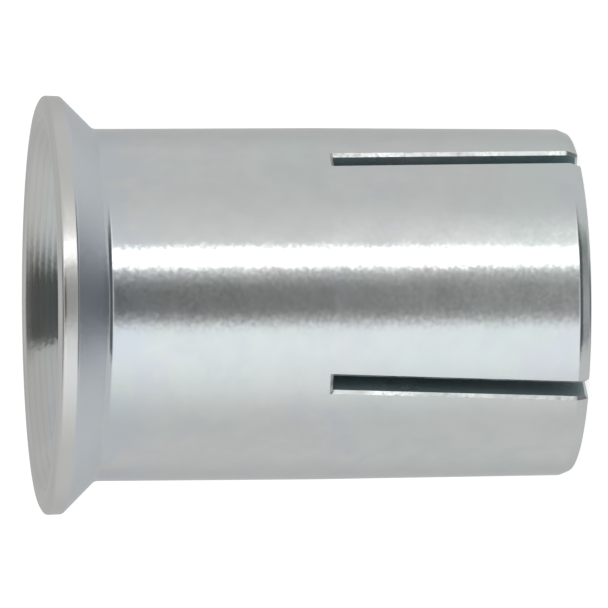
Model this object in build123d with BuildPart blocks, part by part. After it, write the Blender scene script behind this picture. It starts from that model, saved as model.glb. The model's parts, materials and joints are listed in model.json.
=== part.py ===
from build123d import *
from math import cos, radians, sin, tan
import os

# Lipped drop-in anchor for a 3/8 inch bolt: a slotted steel sleeve with a loose tapered plug in its bore.
# Millimetres. The axis is Z. The split end stands on Z = 0 and the lip is at the top.

# Outside of the sleeve
anchor_length = 19.05
body_diameter = 12.6
lip_overhang = 1.2  # beyond the body on the radius
lip_land_height = 0.7  # outer band of the lip, from the mouth's face
lip_land_angle = 2.5  # the band leans in towards its foot
lip_under_angle = 45.0  # slope from the band down to the body
lip_bevel_width = 0.27  # the lip's front corner is broken, most of it on the face
lip_bevel_height = 0.15
lip_face_radius = 0.4
lip_front_radius = 0.15
lip_back_radius = 0.15
lip_root_radius = 0.35
tip_bevel_width = 0.16
tip_bevel_height = 0.39
tip_edge_radius = 0.12
tip_shoulder_radius = 0.3  # where the bevel meets the leaf's side
tip_close_in = 0.08  # the leaves are pressed in by this much, on the radius

# Bore, with its depths measured from the mouth
mouth_ring_width = 0.75  # from the lip's rim in to the countersink
mouth_half_angle = 45.0
mouth_edge_radius = 0.5
thread_wall = 2.325  # from the body's surface in to the thread's crests
thread_depth = 9.85
expander_step = 0.225  # the bore under the thread is narrower by this much, on the radius
expander_depth = 14.45
expander_taper_angle = 10.0
tip_bore_chamfer = 0.25

# Saw slots: two cuts right across the sleeve, each a little off the axis and out of true
slot_width = 0.57
x_slot_length = 8.9
x_slot_tilt = 1.5
x_slot_offset = 0.15
y_slot_length = 9.2
y_slot_tilt = 2.6
y_slot_offset = 0.16

# Plug
plug_clearance = 0.1  # on the radius
plug_length = 6.0
plug_nose_length = 3.0
plug_nose_chamfer = 0.35
plug_back_chamfer = 0.2
plug_free_travel = 1.3  # how far it stands above its seat in the taper

# Outline of the sleeve, worked out from the sizes above
body_radius = body_diameter / 2
lip_radius = body_radius + lip_overhang
tip_radius = body_radius - tip_close_in
land_top_height = anchor_length - lip_bevel_height
land_foot_height = anchor_length - lip_land_height
land_foot_radius = lip_radius - (land_top_height - land_foot_height) * tan(radians(lip_land_angle))
lip_root_height = land_foot_height - (land_foot_radius - body_radius) / tan(radians(lip_under_angle))
leaf_root_height = max(x_slot_length, y_slot_length)

# Bore of the sleeve
mouth_radius = lip_radius - mouth_ring_width
thread_radius = body_radius - thread_wall
thread_top_height = anchor_length - (mouth_radius - thread_radius) / tan(radians(mouth_half_angle))
thread_foot_height = anchor_length - thread_depth
expander_radius = thread_radius - expander_step
expander_top_height = thread_foot_height - expander_step
taper_top_height = anchor_length - expander_depth
tip_bore_radius = expander_radius - taper_top_height * tan(radians(expander_taper_angle))

# Plug, at rest above its seat
plug_radius = expander_radius - plug_clearance
plug_nose_radius = plug_radius - plug_nose_length * tan(radians(expander_taper_angle))
plug_shoulder_height = taper_top_height + plug_free_travel
plug_nose_height = plug_shoulder_height - plug_nose_length
plug_back_height = plug_nose_height + plug_length


def corner_at(section, radius, height):
    """The corner of a half section that lies at a radius and a height."""
    return section.vertices().sort_by_distance((radius, height, 0))[0]


# Sleeve: one half section turned about the axis
with BuildPart() as anchor_sleeve:
    with BuildSketch(Plane.XZ) as sleeve_section:
        with BuildLine():
            Polyline(
                (tip_bore_radius, 0),
                (tip_radius - tip_bevel_width, 0),
                (tip_radius, tip_bevel_height),
                (body_radius, leaf_root_height),
                (body_radius, lip_root_height),
                (land_foot_radius, land_foot_height),
                (lip_radius, land_top_height),
                (lip_radius - lip_bevel_width, anchor_length),
                (mouth_radius, anchor_length),
                (thread_radius, thread_top_height),
                (thread_radius, thread_foot_height),
                (expander_radius, expander_top_height),
                (expander_radius, taper_top_height),
                close=True,
            )
        make_face()
        for corner_radius, corner_height, rounding in (
            (mouth_radius, anchor_length, mouth_edge_radius),
            (lip_radius - lip_bevel_width, anchor_length, lip_face_radius),
            (lip_radius, land_top_height, lip_front_radius),
            (land_foot_radius, land_foot_height, lip_back_radius),
            (body_radius, lip_root_height, lip_root_radius),
            (tip_radius, tip_bevel_height, tip_shoulder_radius),
            (tip_radius - tip_bevel_width, 0, tip_edge_radius),
        ):
            fillet(corner_at(sleeve_section, corner_radius, corner_height), rounding)
        chamfer(corner_at(sleeve_section, tip_bore_radius, 0), tip_bore_chamfer)
    revolve(axis=Axis.Z)

    # Two saw cuts across the split end leave four leaves
    x_slot_foot = Vector(0, -x_slot_offset, 0)
    x_slot_up = Vector(0, -sin(radians(x_slot_tilt)), cos(radians(x_slot_tilt)))
    y_slot_foot = Vector(y_slot_offset, 0, 0)
    y_slot_up = Vector(sin(radians(y_slot_tilt)), 0, cos(radians(y_slot_tilt)))
    for slot_foot, slot_along, slot_up, slot_length in (
        (x_slot_foot, Vector(1, 0, 0), x_slot_up, x_slot_length),
        (y_slot_foot, Vector(0, 1, 0), y_slot_up, y_slot_length),
    ):
        slot_plane = Plane(origin=slot_foot, x_dir=slot_along, z_dir=slot_along.cross(slot_up))
        with BuildSketch(slot_plane):
            Rectangle(2 * body_diameter, 2 * slot_length)
        extrude(amount=slot_width / 2, both=True, mode=Mode.SUBTRACT)
anchor_sleeve.part.label = "anchor_sleeve"

# Plug: a short round slug, its nose tapered like the bore
with BuildPart() as expander_plug:
    with BuildSketch(Plane.XZ) as plug_section:
        with BuildLine():
            Polyline(
                (0, plug_nose_height),
                (plug_nose_radius, plug_nose_height),
                (plug_radius, plug_shoulder_height),
                (plug_radius, plug_back_height),
                (0, plug_back_height),
                close=True,
            )
        make_face()
        chamfer(corner_at(plug_section, plug_nose_radius, plug_nose_height), plug_nose_chamfer)
        chamfer(corner_at(plug_section, plug_radius, plug_back_height), plug_back_chamfer)
    revolve(axis=Axis.Z)
expander_plug.part.label = "expander_plug"

os.makedirs("parts", exist_ok=True)
export_step(anchor_sleeve.part, "parts/anchor_sleeve.step")
export_step(expander_plug.part, "parts/expander_plug.step")
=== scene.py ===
import json
import math

import bmesh
import bpy
import numpy as np
from mathutils import Matrix, Vector


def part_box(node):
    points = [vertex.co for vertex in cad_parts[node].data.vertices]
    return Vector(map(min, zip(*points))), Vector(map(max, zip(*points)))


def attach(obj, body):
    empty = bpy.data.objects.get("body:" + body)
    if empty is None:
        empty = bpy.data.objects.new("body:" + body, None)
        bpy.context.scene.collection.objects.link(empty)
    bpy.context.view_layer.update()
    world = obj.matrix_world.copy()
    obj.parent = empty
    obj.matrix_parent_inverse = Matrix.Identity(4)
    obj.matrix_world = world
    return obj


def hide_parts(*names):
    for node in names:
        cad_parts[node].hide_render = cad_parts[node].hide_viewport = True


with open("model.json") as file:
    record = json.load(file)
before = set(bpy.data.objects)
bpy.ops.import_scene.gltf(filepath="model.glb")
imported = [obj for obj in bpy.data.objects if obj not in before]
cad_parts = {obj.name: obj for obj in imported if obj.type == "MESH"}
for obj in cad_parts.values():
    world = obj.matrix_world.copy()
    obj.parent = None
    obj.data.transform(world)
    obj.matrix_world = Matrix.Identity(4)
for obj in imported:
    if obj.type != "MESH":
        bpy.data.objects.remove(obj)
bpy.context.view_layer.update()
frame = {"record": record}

# The looks of a lipped drop-in anchor: a slotted, zinc plated steel sleeve with a loose plug in its bore.
# Shapes are worked out in millimetres on the sleeve's own axis, then written in metres.
MM = 0.001

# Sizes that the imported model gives
sleeve_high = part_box("anchor_sleeve")[1]
plug_low, plug_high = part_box("expander_plug")
mounts = {mount["name"]: mount for mount in frame["record"]["mounts"]}
length = sleeve_high.z / MM
body_radius = mounts["barrel"]["dims"]["r_mm"]
crest_radius = mounts["thread"]["dims"]["r_mm"]
thread_middle = mounts["thread"]["pos_m"][2] / MM
thread_length = mounts["thread"]["dims"]["length_mm"]
plug_radius = plug_high.x / MM
plug_foot = plug_low.z / MM
plug_top = plug_high.z / MM

# Outside of the sleeve
lip_overhang = 1.2
land_height = 0.7
land_angle = 2.5
under_angle = 45.0
lip_bevel_width = 0.27
lip_bevel_height = 0.15
face_rounding = 0.4
front_rounding = 0.15
back_rounding = 0.15
root_rounding = 0.35
tip_bevel_width = 0.16
tip_bevel_height = 0.39
tip_rounding = 0.12
tip_shoulder_rounding = 0.3
tip_close_in = 0.08

# Bore
mouth_ring = 0.75
mouth_rounding = 0.5
thread_foot = thread_middle - thread_length / 2
expander_step = 0.225
taper_top = 4.6
taper_angle = 10.0
tip_bore_chamfer = 0.25

# Thread, 16 to the inch and right-handed
pitch = 25.4 / 16
thread_major_radius = 9.525 / 2
thread_root_flat = pitch / 8
thread_flank_angle = 30.0
thread_runout = 0.9
thread_start_gap = 0.16  # plain bore left under the last turn

# Saw slots. Each is named by the side that it opens on, and leans by its cut's own angle.
slot_width = 0.57
slot_edge = 0.11  # outside edges are broken by this much
slot_inner_edge = 0.04
inner_edge_reach = 0.3  # from the thread's crests out, where the edges are still broken as in the bore
cut_lengths = (8.9, 9.2)
cut_tilts = (1.5, 2.6)
cut_offsets = (0.15, 0.16)
cut_of_slot = (0, 1, 0, 1)  # for the slots at +X, +Y, -X and -Y
slot_leans = (-1, -1, 1, 1)  # for the same slots, as seen turning anticlockwise
slot_count = len(cut_of_slot)
slot_angle = 360 / slot_count

# What each leaf's end falls short by, for the leaves at +X+Y, -X+Y, -X-Y and +X-Y
leaf_short = (0.04, 0.02, 0.0, 0.02)
leaf_short_reach = 3.0

# Fineness of the meshes
leaf_columns = 52
leaf_crowding = 0.8  # how much closer together the columns lie at a leaf's edges
slot_columns = 3
thread_face_rows = 3
arc_step = 9.0  # degrees
fewest_arc_steps = 3
straight_turn = 0.01  # radians, under which a corner isn't rounded
shortest_span = 0.05
span_growth = 1.6
longest_span = 0.8
longest_plug_span = 0.5
sharp_angle = 32  # degrees, from which an edge is shown sharp
join_distance = 1e-4
tiny = 1e-6

# Places of the sleeve's materials in its list
plated_face = 0
# slot walls and roots: sawn faces whose dark colour is painted shade
shaded_sawn_face = 1
broken_face = 2

# A broken edge, from the slot's wall out to the surface, as (sideways share, depth share): a flat bevel
edge_profile = ((0.0, 1.0), (0.5, 0.5), (1.0, 0.0))


def tangent(angle):
    return math.tan(math.radians(angle))


def rounded(corners):
    """Points along a section whose corners are (radius, height, rounding)."""
    places = np.array([(corner[0], corner[1]) for corner in corners], float)
    points = [places[0]]
    for i in range(1, len(corners) - 1):
        here = places[i]
        back = places[i - 1] - here
        ahead = places[i + 1] - here
        back /= np.linalg.norm(back)
        ahead /= np.linalg.norm(ahead)
        rounding = corners[i][2]
        turn = math.pi - math.acos(np.clip(back @ ahead, -1, 1))
        if rounding == 0 or turn < straight_turn:
            points.append(here)
            continue
        reach = rounding * math.tan(turn / 2)
        middle = here + (back + ahead) / np.linalg.norm(back + ahead) * rounding / math.cos(turn / 2)
        first = here + back * reach - middle
        steps = max(fewest_arc_steps, math.ceil(math.degrees(turn) / arc_step))
        side = math.copysign(1, back[1] * ahead[0] - back[0] * ahead[1])
        for step in range(steps + 1):
            angle = side * turn * step / steps
            cosine, sine = math.cos(angle), math.sin(angle)
            across = cosine * first[0] - sine * first[1]
            along = sine * first[0] + cosine * first[1]
            points.append(middle + np.array([across, along]))
    points.append(places[-1])
    return points


def spaced(points, longest):
    """The same section with its long stretches divided, finely at their ends and coarsely between."""
    result = [points[0]]
    for start, end in zip(points[:-1], points[1:]):
        span = np.linalg.norm(end - start)
        places = []
        step = shortest_span
        reach = shortest_span
        while reach < span / 2:
            places.append(reach)
            step = min(step * span_growth, longest)
            reach += step
        far = [span - place for place in reversed(places)]
        for place in places + far:
            result.append(start + (end - start) * place / span)
        result.append(end)
    return result


def normals_of(points):
    """Outward normals of a section that runs with its material on the left."""
    steps = np.diff(np.array(points), axis=0)
    before = np.vstack([steps[:1], steps])
    after = np.vstack([steps, steps[-1:]])
    unit = before / np.linalg.norm(before, axis=1)[:, None]
    unit = unit + after / np.linalg.norm(after, axis=1)[:, None]
    unit /= np.linalg.norm(unit, axis=1)[:, None]
    return np.stack([unit[:, 1], -unit[:, 0]], 1)


# Section of the sleeve, from the thread's foot down the bore, round the split end and up to the thread's top
lip_radius = body_radius + lip_overhang
land_foot_radius = lip_radius - (land_height - lip_bevel_height) * tangent(land_angle)
land_foot = length - land_height
lip_root = land_foot - (land_foot_radius - body_radius) / tangent(under_angle)
mouth_radius = lip_radius - mouth_ring
thread_start = length - (mouth_radius - thread_major_radius)
thread_end = thread_foot + thread_start_gap
expander_radius = crest_radius - expander_step
tip_bore_radius = expander_radius - taper_top * tangent(taper_angle)
tip_radius = body_radius - tip_close_in
slot_roots = [cut_lengths[cut] * math.cos(math.radians(cut_tilts[cut])) for cut in cut_of_slot]
edge_shares = [share for share, depth in edge_profile]


def root_heights(edge):
    """Heights of the rows that break the edges of the slots' roots."""
    return sorted({root + edge * share for root in slot_roots for share in edge_shares})


def side_radius(height):
    """Radius of the outside between the split end and the slots' roots."""
    share = (height - tip_bevel_height) / (max(cut_lengths) - tip_bevel_height)
    return tip_radius + (body_radius - tip_radius) * min(1, share)


def bore_radius(height):
    """Radius of the bore near the slots' roots."""
    step_foot = thread_foot - expander_step
    return expander_radius + min(max(height - step_foot, 0), expander_step)


bore_stations = root_heights(slot_inner_edge) + [thread_foot, thread_foot - expander_step]
bore_corners = [(crest_radius, thread_end, 0)]
bore_corners += [(bore_radius(height), height, 0) for height in sorted(bore_stations, reverse=True)]
bore_corners += [
    (expander_radius, taper_top, 0),
    (tip_bore_radius + tip_bore_chamfer * tangent(taper_angle), tip_bore_chamfer, 0),
    (tip_bore_radius + tip_bore_chamfer, 0, 0),
    (tip_radius - tip_bevel_width, 0, tip_rounding),
    (tip_radius, tip_bevel_height, tip_shoulder_rounding),
]
side_corners = [(side_radius(height), height, 0) for height in root_heights(slot_edge)]
lip_corners = [
    (body_radius, lip_root, root_rounding),
    (land_foot_radius, land_foot, back_rounding),
    (lip_radius, length - lip_bevel_height, front_rounding),
    (lip_radius - lip_bevel_width, length, face_rounding),
    (mouth_radius, length, mouth_rounding),
    (thread_major_radius, thread_start, 0),
]
section = spaced(rounded(bore_corners + side_corners + lip_corners), longest_span)
section_normals = normals_of(section)
section_heights = [point[1] for point in section]


def edge_size(radius):
    """How much the slot's edges are broken at a point of the section: more outside than in the bore."""
    inner = crest_radius + inner_edge_reach
    outer = tip_radius - tip_bevel_width
    outside = min(1, max(0, (radius - inner) / (outer - inner)))
    return slot_inner_edge + (slot_edge - slot_inner_edge) * outside


def slot_centre(slot, height):
    """Sideways place of a slot's middle at a height."""
    cut = cut_of_slot[slot]
    return slot_leans[slot] * (cut_offsets[cut] + min(height, slot_roots[slot]) * tangent(cut_tilts[cut]))


def eased(share):
    """Where a column lies across a leaf, as a share. The columns are closer together at its edges."""
    return share - leaf_crowding * math.sin(2 * math.pi * share) / (2 * math.pi)


def column_plan():
    """Columns round the sleeve, each (slot, kind, value): at a slot, or a share across the leaf after it."""
    plan = []
    for slot in range(slot_count):
        following = (slot + 1) % slot_count
        plan += [(slot, "floor", -1 + 2 * i / slot_columns) for i in range(slot_columns + 1)]
        plan += [(slot, "after", share) for share in edge_shares[1:]]
        plan += [(slot, "leaf", eased(i / leaf_columns)) for i in range(1, leaf_columns)]
        plan += [(following, "before", share) for share in reversed(edge_shares[1:])]
    return plan


columns = column_plan()


def slot_offset(kind, value, edge):
    """Sideways distance of a slot column from its slot's middle."""
    if kind == "floor":
        return value * slot_width / 2
    reach = slot_width / 2 + edge * value
    return reach if kind == "after" else -reach


def column_angle(column, radius, height, edge):
    """Angle about the axis of a column at a point of the section."""
    slot, kind, value = column
    if kind == "leaf":
        following = (slot + 1) % slot_count
        after = column_angle((slot, "after", 1.0), radius, height, edge)
        before = column_angle((following, "before", 1.0), radius, height, edge)
        if before < after:
            before += 2 * math.pi
        return after + (before - after) * value
    offset = slot_centre(slot, height) + slot_offset(kind, value, edge)
    return math.radians(slot_angle * slot) + math.asin(offset / radius)


def sink(column, height, edge):
    """How far a point lies under the surface where a slot's edge is broken."""
    slot, kind, value = column
    if kind == "leaf":
        return 0.0
    share = (height - slot_roots[slot]) / edge
    if kind != "floor":
        share = max(share, value)
    return edge * float(np.interp(share, *zip(*edge_profile)))


def leaf_rise(column, height):
    """How much higher a point of a leaf's end lies than the longest leaf's."""
    slot, kind, value = column
    leaf = slot - 1 if kind == "before" else slot
    return leaf_short[leaf] * max(0.0, 1 - height / leaf_short_reach) ** 2


# Form of the thread along one pitch: marks, and how deep it is cut at each as a share
thread_deep = thread_major_radius - crest_radius
thread_flank = thread_deep * tangent(thread_flank_angle)
thread_crest_flat = pitch - thread_root_flat - 2 * thread_flank
root_start = thread_crest_flat + thread_flank
thread_marks = (0, thread_crest_flat, root_start, root_start + thread_root_flat, pitch)
thread_cuts = (0, 0, 1, 1, 0)


def thread_radius(phase, height):
    """Radius of the thread at a distance along its pitch, cut away by the mouth's cone."""
    cut = float(np.interp(phase % pitch, thread_marks, thread_cuts))
    fade = min(1, max(0, (height - thread_end) / thread_runout))
    cut *= fade * fade * (3 - 2 * fade)
    cone = thread_major_radius - (thread_start - height)
    return max(crest_radius + thread_deep * cut, cone)


def thread_phases():
    """Distances along one pitch where the thread gets a row."""
    phases = []
    for start, end in zip(thread_marks[:-1], thread_marks[1:]):
        phases += [start + (end - start) * i / thread_face_rows for i in range(thread_face_rows)]
    return phases


def put(mesh, radius, height, angle):
    """A point of a mesh at a radius, a height and an angle about the axis."""
    return mesh.verts.new((radius * math.cos(angle) * MM, radius * math.sin(angle) * MM, height * MM))


def add_face(mesh, corners, smooth=True, material=0):
    """A face through the corners, unless it has no area."""
    kept = [corner for i, corner in enumerate(corners) if corner is not corners[i - 1]]
    if len(set(kept)) < 3:
        return
    face = mesh.faces.new(kept)
    face.smooth = smooth
    face.material_index = material


def finished(name, mesh, materials):
    """A mesh object with its close points joined and its sharp edges marked."""
    bmesh.ops.remove_doubles(mesh, verts=mesh.verts, dist=join_distance * MM)
    data = bpy.data.meshes.new(name)
    mesh.to_mesh(data)
    mesh.free()
    data.set_sharp_from_angle(angle=math.radians(sharp_angle))
    for material in materials:
        data.materials.append(material)
    made = bpy.data.objects.new(name, data)
    bpy.context.scene.collection.objects.link(made)
    return made


def sleeve_rows(mesh):
    """Rows of points along the section, and how far each point lies under the surface."""
    rows = []
    sunk = []
    for (radius, height), (across, along) in zip(section, section_normals):
        edge = edge_size(radius)
        depths = [sink(column, height, edge) for column in columns]
        row = []
        for column, depth in zip(columns, depths):
            angle = column_angle(column, radius, height, edge)
            rise = leaf_rise(column, height)
            row.append(put(mesh, radius - across * depth, height - along * depth + rise, angle))
        rows.append(row)
        sunk.append(depths)
    return rows, sunk


def open_at(place, row):
    """Whether the face that follows a column's place and a row lies in a slot."""
    slot, kind, value = columns[place]
    between_walls = kind == "floor" and value < 1
    return between_walls and max(section_heights[row:row + 2]) < slot_roots[slot] + tiny


def cover_rows(mesh, rows, sunk):
    """Faces between the rows, with the slots left open. Those on a broken edge are flat."""
    for row in range(len(rows) - 1):
        for place in range(len(columns)):
            if open_at(place, row):
                continue
            following = (place + 1) % len(columns)
            spots = ((row, place), (row, following), (row + 1, following), (row + 1, place))
            broken = max(sunk[i][j] for i, j in spots) > 0
            corners = [rows[i][j] for i, j in spots]
            add_face(mesh, corners, smooth=not broken, material=broken_face if broken else plated_face)


def close_slots(mesh, rows):
    """Walls and roots of the slots."""
    for slot in range(slot_count):
        below = [i for i, height in enumerate(section_heights) if height < slot_roots[slot] + tiny]
        floor = [i for i, column in enumerate(columns) if column[:2] == (slot, "floor")]
        # the walls and roots take the material darkened with painted shade
        add_face(mesh, [rows[i][floor[0]] for i in below], smooth=False, material=shaded_sawn_face)
        add_face(mesh, [rows[i][floor[-1]] for i in reversed(below)], smooth=False, material=shaded_sawn_face)
        bore = rows[below[0]]
        side = rows[below[-1]]
        for place, following in zip(floor[:-1], floor[1:]):
            corners = (bore[place], bore[following], side[following], side[place])
            add_face(mesh, corners, smooth=False, material=shaded_sawn_face)


def cut_thread(mesh, foot, top):
    """Rows that climb with the thread's helix, held between the mouth's cone and the plain bore."""
    phases = thread_phases()
    turns = math.ceil((thread_start - thread_end) / pitch) + 1
    angles = [column_angle(column, crest_radius, thread_start, slot_inner_edge) for column in columns]
    helix = []
    for step in range(turns * len(phases) + 1):
        drop = (step // len(phases)) * pitch + phases[step % len(phases)]
        row = []
        for place, angle in enumerate(angles):
            height = thread_start - drop + pitch * angle / (2 * math.pi)
            if height >= thread_start:
                row.append(top[place])
            elif height <= thread_end:
                row.append(foot[place])
            else:
                row.append(put(mesh, thread_radius(drop, height), height, angle))
        helix.append(row)
    for step in range(len(helix) - 1):
        low, high = helix[step], helix[step + 1]
        for place in range(len(columns) - 1):
            add_face(mesh, (low[place], low[place + 1], high[place + 1], high[place]))
        back = step - len(phases)
        after = helix[back][0] if back >= 0 else top[0]
        after_next = helix[back + 1][0] if back + 1 >= 0 else top[0]
        add_face(mesh, (low[-1], after, after_next, high[-1]))


def build_sleeve(materials):
    """The sleeve as one closed mesh of rows along its section and columns round its axis."""
    mesh = bmesh.new()
    rows, sunk = sleeve_rows(mesh)
    cover_rows(mesh, rows, sunk)
    close_slots(mesh, rows)
    cut_thread(mesh, rows[0], rows[-1])
    bmesh.ops.recalc_face_normals(mesh, faces=mesh.faces)
    return finished("sleeve", mesh, materials)


# Plug: sizes of its turned shape
plug_nose_length = 3.0
plug_nose_rounding = 0.3
plug_shoulder_rounding = 0.4
plug_back_rounding = 0.22
plug_columns = 128


def build_plug(materials):
    """The plug as one closed turned mesh."""
    nose_radius = plug_radius - plug_nose_length * tangent(taper_angle)
    shoulder = plug_foot + plug_nose_length
    corners = [
        (0.0, plug_foot, 0),
        (nose_radius, plug_foot, plug_nose_rounding),
        (plug_radius, shoulder, plug_shoulder_rounding),
        (plug_radius, plug_top, plug_back_rounding),
        (0.0, plug_top, 0),
    ]
    points = spaced(rounded(corners), longest_plug_span)
    mesh = bmesh.new()
    rows = []
    for radius, height in points:
        if radius < tiny:
            rows.append([mesh.verts.new((0, 0, height * MM))] * plug_columns)
            continue
        angles = [2 * math.pi * i / plug_columns for i in range(plug_columns)]
        rows.append([put(mesh, radius, height, angle) for angle in angles])
    for low, high in zip(rows[:-1], rows[1:]):
        for place in range(plug_columns):
            following = (place + 1) % plug_columns
            add_face(mesh, (low[place], low[following], high[following], high[place]))
    bmesh.ops.recalc_face_normals(mesh, faces=mesh.faces)
    return finished("plug", mesh, materials)


# Materials, with sizes in millimetres. A pattern of noise is (feature size, detail, roughness, low, high),
# and its look changes from low to high. An edge is where a mask starts and stops changing, from its border.
tint_pattern = (4.0, 3.0, 0.5, 0.35, 0.65)
patch_pattern = (2.2, 4.0, 0.6, 0.52, 0.72)
stain_pattern = (1.1, 3.0, 0.55, 0.35, 0.7)
mottle_pattern = (1.4, 2.0, 0.5, 0.35, 0.52)
cloud_pattern = (1.6, 5.0, 0.6, 0.3, 0.7)
lip_root_edge = (-2.4, -0.3)
barrel_edge = (-0.3, -0.1)
land_foot_edge = (-0.1, 0.2)
under_lip_edge = (0.02, 0.3)
cone_edge = (0.1, 0.3)
stain_strength = 0.1
stain_grey = (0.45, 0.47, 0.47, 1)
mottle_strength = 0.9
lip_dullness = 0.09
ring_pitch = 0.2
ring_wobble = 0.05
ring_wobble_size = 0.6
ring_line_start = 0.2  # share of a turning mark's height from which it is darker
ring_darkness = 0.08
ring_grey = (0.3, 0.31, 0.31, 1)
fleck = 0.16
grain_along = 0.3  # share of a grain's lean that is along the axis
noise_middle = (0.5, 0.5, 0.5)
peel_size = 0.9
peel_height = 0.003


def add_node(tree, kind, inputs=None, **settings):
    """A new node with its settings, and its inputs linked or set to a constant."""
    made = tree.nodes.new(kind)
    for name, value in settings.items():
        setattr(made, name, value)
    for name, value in (inputs or {}).items():
        if isinstance(value, bpy.types.NodeSocket):
            tree.links.new(value, made.inputs[name])
        else:
            made.inputs[name].default_value = value
    return made


def maths(tree, operation, *values):
    return add_node(tree, "ShaderNodeMath", dict(enumerate(values)), operation=operation).outputs[0]


def noise(tree, where, feature, detail=2.0, roughness=0.5):
    """Noise with features of a size in millimetres."""
    inputs = {"Vector": where, "Scale": 1 / (feature * MM), "Detail": detail, "Roughness": roughness}
    return add_node(tree, "ShaderNodeTexNoise", inputs).outputs["Fac"]


def blended(tree, share, first, second):
    """A colour between two, by a share."""
    inputs = {"Factor": share, 6: first, 7: second}
    return add_node(tree, "ShaderNodeMix", inputs, data_type="RGBA").outputs[2]


def between(tree, value, low, high, first=0.0, last=1.0):
    """first below low, last above high, and a smooth change between them."""
    inputs = {"Value": value, "From Min": low, "From Max": high, "To Min": first, "To Max": last}
    made = add_node(tree, "ShaderNodeMapRange", inputs, interpolation_type="SMOOTHSTEP")
    return made.outputs["Result"]


def patchy(tree, where, pattern, first=0.0, last=1.0):
    """first where a pattern of noise is low, last where it is high."""
    feature, detail, roughness, low, high = pattern
    return between(tree, noise(tree, where, feature, detail, roughness), low, high, first, last)


def past(tree, value, border, edge, first=0.0, last=1.0):
    """first before a border's edge and last after it."""
    low, high = edge
    return between(tree, value, (border + low) * MM, (border + high) * MM, first, last)


def metal(name, colours, shine, grain, rings=0.0, metallic=1.0):
    """Plated or bare steel: colours is (main, two tints, under the lip, on the lip), shine (least, most
    roughness), grain how much its grains lean and rings the height of the turning marks in millimetres."""
    made = bpy.data.materials.new(name)
    made.use_nodes = True
    tree = made.node_tree
    shader = tree.nodes["Principled BSDF"]
    shader.inputs["Metallic"].default_value = metallic
    where = add_node(tree, "ShaderNodeTexCoord").outputs["Object"]

    main, first_tint, second_tint, under_colour, lip_colour = colours
    colour = blended(tree, patchy(tree, where, tint_pattern), main, first_tint)
    colour = blended(tree, patchy(tree, where, patch_pattern), colour, second_tint)
    stain = patchy(tree, where, stain_pattern, 0.0, stain_strength)
    colour = blended(tree, stain, colour, stain_grey)

    # The lip is a little warmer than the rest, and cooler underneath and in patches beside it
    apart = add_node(tree, "ShaderNodeSeparateXYZ", {"Vector": where}).outputs
    x_squared = maths(tree, "MULTIPLY", apart["X"], apart["X"])
    y_squared = maths(tree, "MULTIPLY", apart["Y"], apart["Y"])
    radius = maths(tree, "SQRT", maths(tree, "ADD", x_squared, y_squared))
    beside = past(tree, apart["Z"], lip_root, lip_root_edge, 0.0, mottle_strength)
    outside = past(tree, radius, body_radius, barrel_edge)
    mottled = patchy(tree, where, mottle_pattern)
    patches = maths(tree, "MULTIPLY", maths(tree, "MULTIPLY", beside, outside), mottled)
    colour = blended(tree, patches, colour, under_colour)
    on_lip = past(tree, apart["Z"], land_foot, land_foot_edge)
    under_lip = past(tree, radius, body_radius, under_lip_edge)
    colour = blended(tree, under_lip, colour, under_colour)
    colour = blended(tree, on_lip, colour, lip_colour)

    sheen = patchy(tree, where, cloud_pattern, *shine)
    sheen = maths(tree, "ADD", sheen, maths(tree, "MULTIPLY", under_lip, lip_dullness))
    tree.links.new(sheen, shader.inputs["Roughness"])

    # Turning marks, on the mouth's cone only
    wobble = maths(tree, "MULTIPLY", noise(tree, where, ring_wobble_size), ring_wobble * MM)
    turned = maths(tree, "ADD", radius, wobble)
    wave = maths(tree, "SINE", maths(tree, "MULTIPLY", turned, 2 * math.pi / (ring_pitch * MM)))
    inward = maths(tree, "SUBTRACT", radius, apart["Z"])
    inside = past(tree, inward, mouth_radius - length, cone_edge, 1.0, 0.0)
    faced = maths(tree, "MULTIPLY", past(tree, apart["Z"], thread_start, cone_edge), inside)
    ring_height = maths(tree, "MULTIPLY", maths(tree, "MULTIPLY", wave, faced), rings * MM)
    crest = between(tree, wave, ring_line_start, 1.0, 0.0, ring_darkness)
    ring_line = maths(tree, "MULTIPLY", crest, faced)
    colour = blended(tree, ring_line, colour, ring_grey)
    tree.links.new(colour, shader.inputs["Base Color"])

    # Each grain of the plating leans its own way a little, round the axis more than along it
    flecks = add_node(tree, "ShaderNodeTexNoise", {"Vector": where, "Scale": 1 / (fleck * MM), "Detail": 1.0})
    centred = {0: flecks.outputs["Color"], 1: noise_middle}
    lean = add_node(tree, "ShaderNodeVectorMath", centred, operation="SUBTRACT")
    reach = (grain, grain, grain * grain_along)
    lean = add_node(tree, "ShaderNodeVectorMath", {0: lean.outputs[0], 1: reach}, operation="MULTIPLY")
    plain = add_node(tree, "ShaderNodeNewGeometry").outputs["Normal"]
    leaning = add_node(tree, "ShaderNodeVectorMath", {0: plain, 1: lean.outputs[0]}, operation="ADD")
    leaning = add_node(tree, "ShaderNodeVectorMath", {0: leaning.outputs[0]}, operation="NORMALIZE")

    peel = maths(tree, "MULTIPLY", noise(tree, where, peel_size), peel_height * MM)
    height = maths(tree, "ADD", peel, ring_height)
    inputs = {"Height": height, "Strength": 1.0, "Distance": 1.0, "Normal": leaning.outputs[0]}
    bump = add_node(tree, "ShaderNodeBump", inputs)
    tree.links.new(bump.outputs["Normal"], shader.inputs["Normal"])
    return made


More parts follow.
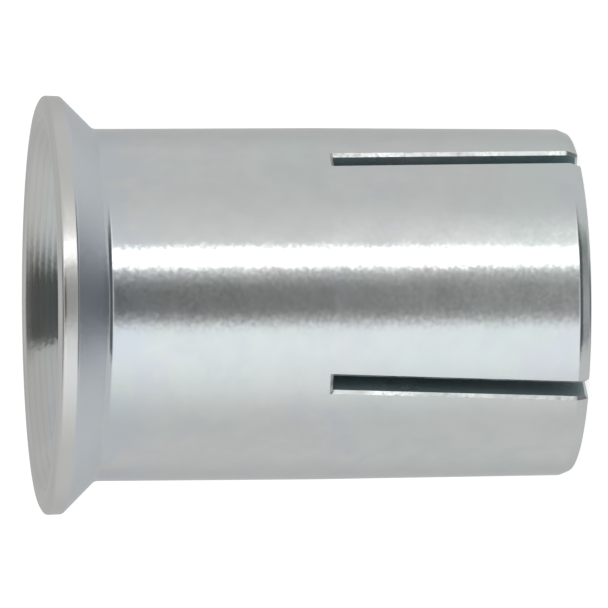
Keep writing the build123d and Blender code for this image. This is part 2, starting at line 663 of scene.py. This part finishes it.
plain_zinc = (0.75, 0.76, 0.755, 1)
greenish_zinc = (0.72, 0.765, 0.75, 1)
bluish_zinc = (0.735, 0.75, 0.79, 1)
lilac_zinc = (0.68, 0.72, 0.76, 1)
warm_zinc = (0.725, 0.718, 0.70, 1)
zinc_colours = (plain_zinc, greenish_zinc, bluish_zinc, lilac_zinc, warm_zinc)
zinc = metal("zinc_plate", zinc_colours, shine=(0.125, 0.165), grain=0.055, rings=0.0016)
broken_edge = metal("broken_edge", zinc_colours, shine=(0.24, 0.36), grain=0.25)
# Sawn slot walls: their near-black colour is painted shade inside the narrow slots, not the steel's own
# colour
slot_shade_grey = (0.21, 0.27, 0.29, 1)
slot_shade_colours = (slot_shade_grey, (0.18, 0.26, 0.28, 1), (0.24, 0.28, 0.31, 1), slot_shade_grey, slot_shade_grey)
sawn_wall_shade = metal("sawn_edge", slot_shade_colours, shine=(0.25, 0.38), grain=0.3, metallic=0.35)
plug_steel = (0.60, 0.60, 0.59, 1)
plug_colours = (plug_steel, (0.56, 0.57, 0.57, 1), (0.62, 0.59, 0.55, 1), plug_steel, plug_steel)
bare = metal("plug_steel", plug_colours, shine=(0.24, 0.36), grain=0.3)

sleeve = build_sleeve([zinc, sawn_wall_shade, broken_edge])
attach(sleeve, "sleeve")
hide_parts("anchor_sleeve")

plug = build_plug([bare])
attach(plug, "plug")
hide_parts("expander_plug")

# Camera: it looks down a little on the standing anchor and lies on its side, so the lip shows at the left
view_azimuth = -57.9
view_elevation = 6.864
view_roll = 0.339
view_distance = 345.48
aim_height = 9.541
aim_sideways = -0.009
focal_length = 570.3
sensor_width = 36.0
nearest_seen = 0.005  # metres

away = Matrix.Rotation(math.radians(view_azimuth), 3, "Z") @ Vector((1, 0, 0))
sideways = Vector((0, 0, 1)).cross(away)
forward = -math.sin(math.radians(view_elevation)) * Vector((0, 0, 1))
forward -= math.cos(math.radians(view_elevation)) * away
level_right = forward.cross(sideways)
roll = math.radians(view_roll)
right = math.cos(roll) * level_right - math.sin(roll) * sideways
up = math.cos(roll) * sideways + math.sin(roll) * level_right
aim = Vector((0, 0, aim_height)) + aim_sideways * sideways
place = (aim - view_distance * forward) * MM
camera_data = bpy.data.cameras.new("camera")
camera_data.sensor_fit = "HORIZONTAL"
camera_data.sensor_width = sensor_width
camera_data.lens = focal_length
camera_data.clip_start = nearest_seen
camera = bpy.data.objects.new("camera", camera_data)
camera.matrix_world = Matrix((right, up, -forward)).transposed().to_4x4()
camera.matrix_world.translation = place
bpy.context.scene.collection.objects.link(camera)
bpy.context.scene.camera = camera

# Floor: white to the camera, with a soft shadow, and left out of the metal's reflections
floor_size = 2.0
floor_glow = 0.86
floor_colour = (0.32, 0.32, 0.32, 1)
pure_white = (1, 1, 1, 1)
floor_data = bpy.data.meshes.new("floor")
half = floor_size / 2
floor_data.from_pydata(
    [(-half, -half, 0), (half, -half, 0), (half, half, 0), (-half, half, 0)], [], [(0, 1, 2, 3)]
)
floor = bpy.data.objects.new("floor", floor_data)
bpy.context.scene.collection.objects.link(floor)
floor_material = bpy.data.materials.new("floor_white")
floor_material.use_nodes = True
tree = floor_material.node_tree
tree.nodes.clear()
own_light = add_node(tree, "ShaderNodeEmission", {"Color": pure_white, "Strength": floor_glow})
paper = add_node(tree, "ShaderNodeBsdfDiffuse", {"Color": floor_colour})
paper_lit = add_node(tree, "ShaderNodeAddShader")
tree.links.new(own_light.outputs[0], paper_lit.inputs[0])
tree.links.new(paper.outputs[0], paper_lit.inputs[1])
clear = add_node(tree, "ShaderNodeBsdfTransparent")
path = add_node(tree, "ShaderNodeLightPath")
mixed = add_node(tree, "ShaderNodeMixShader", {"Fac": path.outputs["Is Glossy Ray"]})
tree.links.new(paper_lit.outputs[0], mixed.inputs[1])
tree.links.new(clear.outputs[0], mixed.inputs[2])
out = add_node(tree, "ShaderNodeOutputMaterial")
tree.links.new(mixed.outputs[0], out.inputs["Surface"])
floor_data.materials.append(floor_material)

# Studio round the anchor: walls with panels at bearings from the camera, and dim cards above and below.
# Limits are (starts, is whole, is still whole, ends). A panel is (bearings in degrees, heights, brightness,
# colour) and a card is (above or below, turn in degrees, limits across, limits along, brightness, colour).
# Heights and a card's limits are on the sphere of directions; its last limits lie towards the camera.
wall_level = 0.62
back_wall_level = 0.51
back_wall_edge = (-0.95, -0.45)
wall_colour = (0.99, 1.0, 1.0, 1)
panels = (
    ((28.0, 36.0, 40.0, 80.0), (-0.36, -0.24, 0.6, 0.8), 0.715, (1.0, 1.0, 1.0)),
    ((-88.0, -27.0, -18.0, -2.0), (-0.45, -0.25, 0.6, 0.8), 1.0, (0.97, 1.01, 1.03)),
    ((-18.0, -2.0, 8.0, 24.0), (-0.195, -0.152, 0.6, 0.8), 0.32, (1.0, 1.0, 1.0)),
    ((-18.0, -2.0, 8.0, 24.0), (-0.18, -0.163, -0.145, -0.12), 0.15, (1.0, 1.0, 1.0)),
    ((-18.0, -2.0, 8.0, 24.0), (-0.105, -0.094, 0.6, 0.8), 0.05, (1.0, 1.0, 1.0)),
    ((24.0, 30.0, 40.0, 66.0), (-0.27, -0.2, -0.185, -0.165), 1.5, (1.0, 1.0, 1.0)),
    ((22.5, 25.0, 36.0, 38.5), (-0.36, -0.24, 0.6, 0.8), 1.9, (1.0, 1.0, 1.0)),
    ((-45.0, -28.0, 42.0, 75.0), (-0.86, -0.72, -0.36, -0.24), 0.1, (0.95, 1.0, 1.0)),
)
cards = (
    (1, 0.0, (0.1, 0.2, 0.6, 0.8), (-0.7, -0.5, 0.1, 0.3), 0.54, (0.99, 1.0, 1.0)),
    (1, 19.0, (-0.42, -0.18, 0.2, 0.25), (-0.45, -0.05, 0.25, 0.45), 0.09, (0.95, 1.0, 0.98)),
    (-1, 0.0, (-0.36, -0.04, 0.11, 0.43), (-0.6, -0.3, 0.47, 0.6), 0.15, (0.92, 0.98, 1.06)),
)

world = bpy.data.worlds.new("studio")
world.use_nodes = True
bpy.context.scene.world = world
tree = world.node_tree
tree.nodes.clear()


def turned_about_z(direction, degrees):
    """Components of a direction in axes turned about Z by an angle."""
    inputs = {"Vector": direction, "Angle": math.radians(-degrees)}
    made = add_node(tree, "ShaderNodeVectorRotate", inputs, rotation_type="Z_AXIS")
    return add_node(tree, "ShaderNodeSeparateXYZ", {"Vector": made.outputs["Vector"]}).outputs


def within(value, starts, whole, still_whole, ends):
    """One between the middle two limits, none outside the outer two, and a smooth change at both sides."""
    rise = between(tree, value, starts, whole)
    fall = between(tree, value, still_whole, ends, 1.0, 0.0)
    return maths(tree, "MULTIPLY", rise, fall)


def laid_over(light, colour, share, level, shade):
    """The light and colour with a panel or card laid over them."""
    made = add_node(tree, "ShaderNodeMix", {"Factor": share, 2: light, 3: level})
    return made.outputs[0], blended(tree, share, colour, (*shade, 1))


direction = add_node(tree, "ShaderNodeTexCoord").outputs["Generated"]
parts = turned_about_z(direction, view_azimuth)
bearing = maths(tree, "DEGREES", maths(tree, "ARCTAN2", parts["Y"], parts["X"]))
light = between(tree, parts["X"], *back_wall_edge, back_wall_level, wall_level)
colour = wall_colour
for bearings, heights, level, shade in panels:
    share = maths(tree, "MULTIPLY", within(bearing, *bearings), within(parts["Z"], *heights))
    light, colour = laid_over(light, colour, share, level, shade)
for side, turn, across, along, level, shade in cards:
    card_parts = turned_about_z(direction, view_azimuth + turn)
    share = maths(tree, "MULTIPLY", within(card_parts["Y"], *across), within(card_parts["X"], *along))
    facing = maths(tree, "GREATER_THAN", maths(tree, "MULTIPLY", parts["Z"], side), 0.0)
    share = maths(tree, "MULTIPLY", share, facing)
    light, colour = laid_over(light, colour, share, level, shade)
studio = add_node(tree, "ShaderNodeBackground", {"Color": colour, "Strength": light})
white = add_node(tree, "ShaderNodeBackground", {"Color": pure_white, "Strength": 1.0})
path = add_node(tree, "ShaderNodeLightPath")
seen = add_node(tree, "ShaderNodeMixShader", {"Fac": path.outputs["Is Camera Ray"]})
tree.links.new(studio.outputs[0], seen.inputs[1])
tree.links.new(white.outputs[0], seen.inputs[2])
out = add_node(tree, "ShaderNodeOutputWorld")
tree.links.new(seen.outputs[0], out.inputs["Surface"])

bpy.context.scene.view_settings.view_transform = "Standard"
